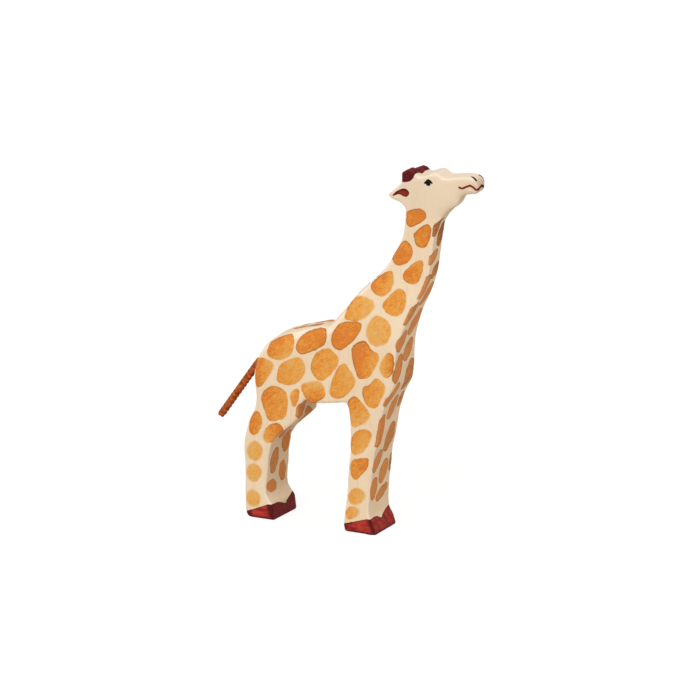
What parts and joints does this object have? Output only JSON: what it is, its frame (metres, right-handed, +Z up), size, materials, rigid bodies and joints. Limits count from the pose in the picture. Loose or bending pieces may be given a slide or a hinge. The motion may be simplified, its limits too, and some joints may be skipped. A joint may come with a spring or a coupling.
{
  "type": "carved giraffe figure",
  "caption": "Standing giraffe figure sawn and carved from one board, painted with tan patches, with a stiff twisted cord glued into the rump as its tail.",
  "frame": {"origin": "on the floor, under the middle of the wooden figure's box, with the cord tail left out", "axes": "+X towards the muzzle, +Y to the giraffe's left, +Z up"},
  "size_m": [0.1711, 0.028, 0.225],
  "materials": {
    "painted_wood": "satin water-based paint over fine pale wood",
    "glue": "dry wood glue",
    "cord": "stiff twisted cord, dyed rust brown"
  },
  "bodies": {
    "figure": {"carved_body": "painted_wood", "tail_glue": "glue"},
    "tail": {"tail_cord": "cord"}
  },
  "joints": [
    {"name": "tail_wag", "type": "hinge", "parent": "figure", "child": "tail", "pos_m": [-0.06638, 0, 0.0945], "axis": [0.8232, 0, -0.5677], "range_deg": [-35, 35], "stiffness_Nm_per_rad": 0.002, "deforming": ["tail_cord"]}
  ]
}
